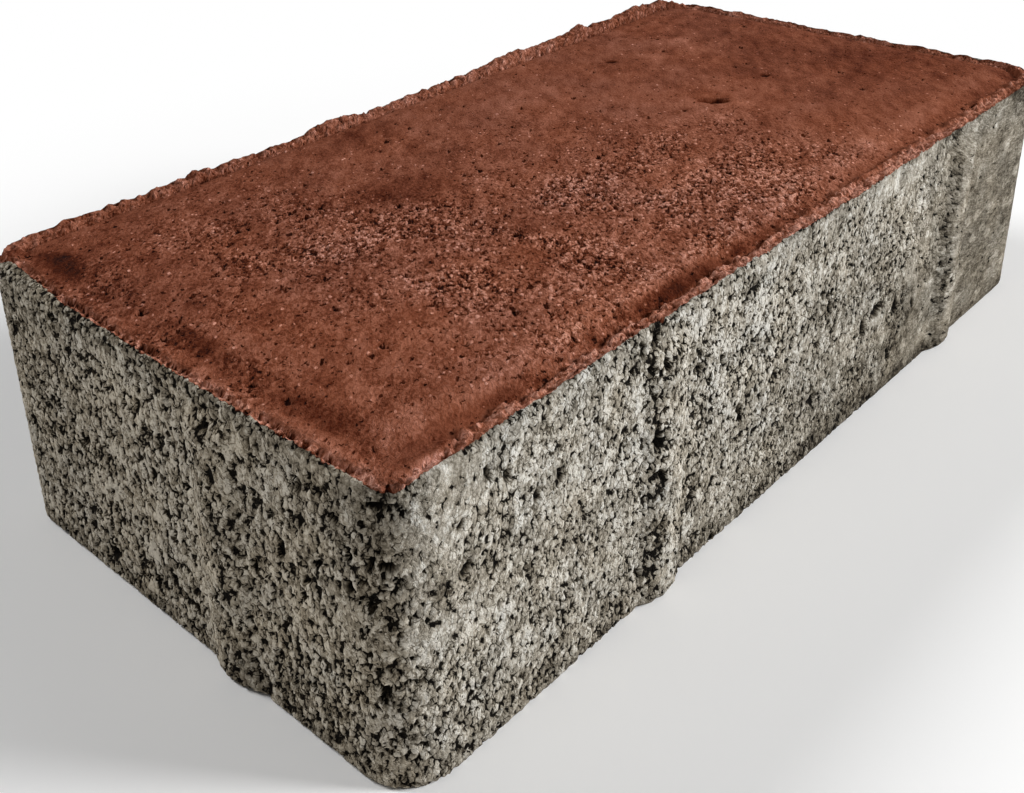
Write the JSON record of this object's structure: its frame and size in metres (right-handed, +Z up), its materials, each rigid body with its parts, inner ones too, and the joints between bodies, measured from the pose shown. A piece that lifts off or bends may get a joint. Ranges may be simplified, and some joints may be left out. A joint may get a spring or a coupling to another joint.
{
  "type": "concrete paving stone",
  "caption": "Rectangular pressed concrete paving stone with a pigmented walking face, chamfered lipped edge, rounded corners and spacer nibs on its sides.",
  "frame": {"origin": "centre of the footprint, nibs included, on the underside", "axes": "+X along the stone's length, +Y across its width, +Z up to the walking face"},
  "size_m": [0.2, 0.1, 0.05],
  "materials": {
    "concrete": "matte"
  },
  "bodies": {
    "root": {"paving_stone": "concrete"}
  },
  "joints": []
}
